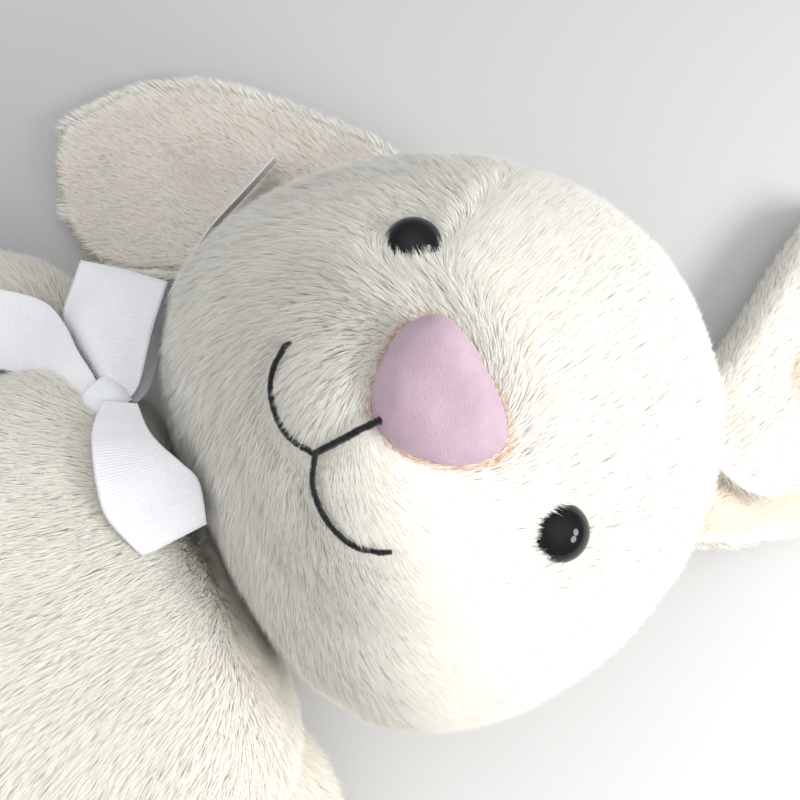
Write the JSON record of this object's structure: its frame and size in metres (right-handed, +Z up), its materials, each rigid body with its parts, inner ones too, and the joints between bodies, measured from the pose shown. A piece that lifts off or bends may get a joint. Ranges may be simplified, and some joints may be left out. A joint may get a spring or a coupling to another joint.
{
  "type": "stuffed bunny rabbit",
  "caption": "Large cream plush bunny lying on its back, with lop ears, black domed eyes, a pink velour nose, a stitched mouth and a white ribbon bow.",
  "frame": {"origin": "centre of the flat patch under the torso, where the toy lies on its back", "axes": "+Z up, the way the face and belly look; +Y from the feet to the crown; +X towards the bunny's own left"},
  "size_m": [0.6897, 1.0492, 0.235],
  "materials": {
    "cream_plush": "matte",
    "peach_lining": "matte",
    "polyester_filling": "matte",
    "white_grosgrain": "satin",
    "pink_velour": "matte",
    "black_yarn": "matte",
    "black_eye_plastic": "gloss",
    "washer_plastic": "matte"
  },
  "bodies": {
    "torso": {"torso_front_panel": "cream_plush", "torso_back_panel": "cream_plush", "torso_stuffing": "polyester_filling", "pompom_cover": "cream_plush", "pompom_stuffing": "polyester_filling", "ribbon_band": "white_grosgrain", "bow_knot": "white_grosgrain", "bow_right_loop": "white_grosgrain", "bow_left_loop": "white_grosgrain"},
    "head": {"face_panel": "cream_plush", "forehead_panel": "cream_plush", "head_back_panel": "cream_plush", "head_stuffing": "polyester_filling", "nose_cover": "pink_velour", "nose_stuffing": "polyester_filling", "right_eye": "black_eye_plastic", "left_eye": "black_eye_plastic", "right_eye_washer": "washer_plastic", "left_eye_washer": "washer_plastic", "mouth_centre_stitch": "black_yarn", "mouth_right_stitch": "black_yarn", "mouth_left_stitch": "black_yarn", "ribbon_short_tail": "white_grosgrain"},
    "right_ear": {"right_ear_back": "cream_plush", "right_ear_lining": "peach_lining"},
    "left_ear": {"left_ear_back": "cream_plush", "left_ear_lining": "peach_lining"},
    "right_arm": {"right_arm_upper_panel": "cream_plush", "right_arm_under_panel": "cream_plush", "right_arm_stuffing": "polyester_filling", "ribbon_long_tail": "white_grosgrain"},
    "left_arm": {"left_arm_upper_panel": "cream_plush", "left_arm_under_panel": "cream_plush", "left_arm_stuffing": "polyester_filling"},
    "right_leg": {"right_leg_upper_panel": "cream_plush", "right_leg_under_panel": "cream_plush", "right_leg_stuffing": "polyester_filling", "right_leg_sole": "peach_lining"},
    "left_leg": {"left_leg_upper_panel": "cream_plush", "left_leg_under_panel": "cream_plush", "left_leg_stuffing": "polyester_filling", "left_leg_sole": "peach_lining"}
  },
  "joints": [
    {"name": "head_turn", "type": "hinge", "parent": "torso", "child": "head", "pos_m": [0, 0.181, 0.1], "axis": [0, 1, 0], "range_deg": [-30, 30]},
    {"name": "right_ear_swing", "type": "hinge", "parent": "head", "child": "right_ear", "pos_m": [-0.108, 0.362, 0.008], "axis": [0, 0, 1], "range_deg": [-95, 0]},
    {"name": "left_ear_swing", "type": "hinge", "parent": "head", "child": "left_ear", "pos_m": [0.104, 0.394, 0.008], "axis": [0, 0, 1], "range_deg": [-150, 0]},
    {"name": "right_arm_lift", "type": "hinge", "parent": "torso", "child": "right_arm", "pos_m": [-0.162, 0.128, 0.0485], "axis": [-0.7071, 0.7071, 0], "range_deg": [0, 70]},
    {"name": "left_arm_lift", "type": "hinge", "parent": "torso", "child": "left_arm", "pos_m": [0.162, 0.128, 0.0485], "axis": [-0.342, -0.9397, 0], "range_deg": [0, 70]},
    {"name": "right_leg_lift", "type": "hinge", "parent": "torso", "child": "right_leg", "pos_m": [-0.085, -0.202, 0.0545], "axis": [-0.9877, 0.1564, 0], "range_deg": [0, 75]},
    {"name": "left_leg_lift", "type": "hinge", "parent": "torso", "child": "left_leg", "pos_m": [0.085, -0.202, 0.0545], "axis": [-0.9877, -0.1564, 0], "range_deg": [0, 75]}
  ]
}
